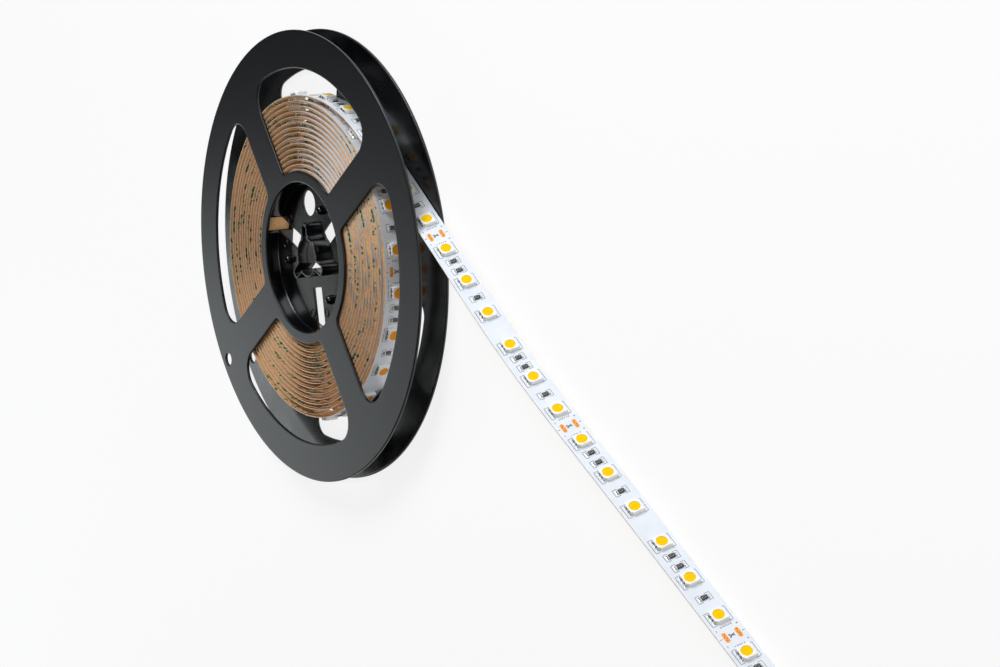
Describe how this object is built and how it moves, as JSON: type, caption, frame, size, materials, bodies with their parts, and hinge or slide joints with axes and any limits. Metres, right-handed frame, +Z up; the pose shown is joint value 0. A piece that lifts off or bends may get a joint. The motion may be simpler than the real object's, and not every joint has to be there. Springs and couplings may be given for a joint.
{
  "type": "led strip light reel",
  "caption": "Flexible strip of square light chips wound on a flat two-part plastic reel with four spokes, its free end run out straight.",
  "frame": {"origin": "on the surface that the reel lies on, under the middle of the whole length from the reel's rim to the tape's free end", "axes": "+X along the tape's straight free end, +Z up along the reel's axis, out of its front flange"},
  "size_m": [0.459, 0.18, 0.0126],
  "materials": {
    "reel_plastic": "injection moulded black polystyrene, satin outer faces and glossy inner faces",
    "tape_white": "white solder mask on a flexible board, soft sheen",
    "kraft_liner": "tan kraft release paper, stands in for paper",
    "chip_body": "white chip body with a round yellow phosphor",
    "resistor_glaze": "black glazed resistor with tinned ends"
  },
  "bodies": {
    "root": {"front_reel_half": "reel_plastic", "rear_reel_half": "reel_plastic", "peel_off_backing": "kraft_liner", "flexible_board": "tape_white", "led_chip_01": "chip_body", "led_chip_02": "chip_body", "led_chip_03": "chip_body", "led_chip_04": "chip_body", "led_chip_05": "chip_body", "led_chip_06": "chip_body", "led_chip_07": "chip_body", "led_chip_08": "chip_body", "led_chip_09": "chip_body", "led_chip_10": "chip_body", "led_chip_11": "chip_body", "led_chip_12": "chip_body", "led_chip_13": "chip_body", "led_chip_14": "chip_body", "led_chip_15": "chip_body", "led_chip_16": "chip_body", "led_chip_17": "chip_body", "led_chip_18": "chip_body", "led_chip_19": "chip_body", "led_chip_20": "chip_body", "led_chip_21": "chip_body", "led_chip_22": "chip_body", "led_chip_23": "chip_body", "led_chip_24": "chip_body", "resistor_01": "resistor_glaze", "resistor_02": "resistor_glaze", "resistor_03": "resistor_glaze", "resistor_04": "resistor_glaze", "resistor_05": "resistor_glaze", "resistor_06": "resistor_glaze", "resistor_07": "resistor_glaze", "resistor_08": "resistor_glaze", "resistor_09": "resistor_glaze", "resistor_10": "resistor_glaze", "resistor_11": "resistor_glaze", "resistor_12": "resistor_glaze", "resistor_13": "resistor_glaze", "resistor_14": "resistor_glaze", "resistor_15": "resistor_glaze", "resistor_16": "resistor_glaze", "resistor_17": "resistor_glaze", "resistor_18": "resistor_glaze", "resistor_19": "resistor_glaze", "resistor_20": "resistor_glaze", "resistor_21": "resistor_glaze", "resistor_22": "resistor_glaze", "resistor_23": "resistor_glaze", "resistor_24": "resistor_glaze"}
  },
  "joints": []
}
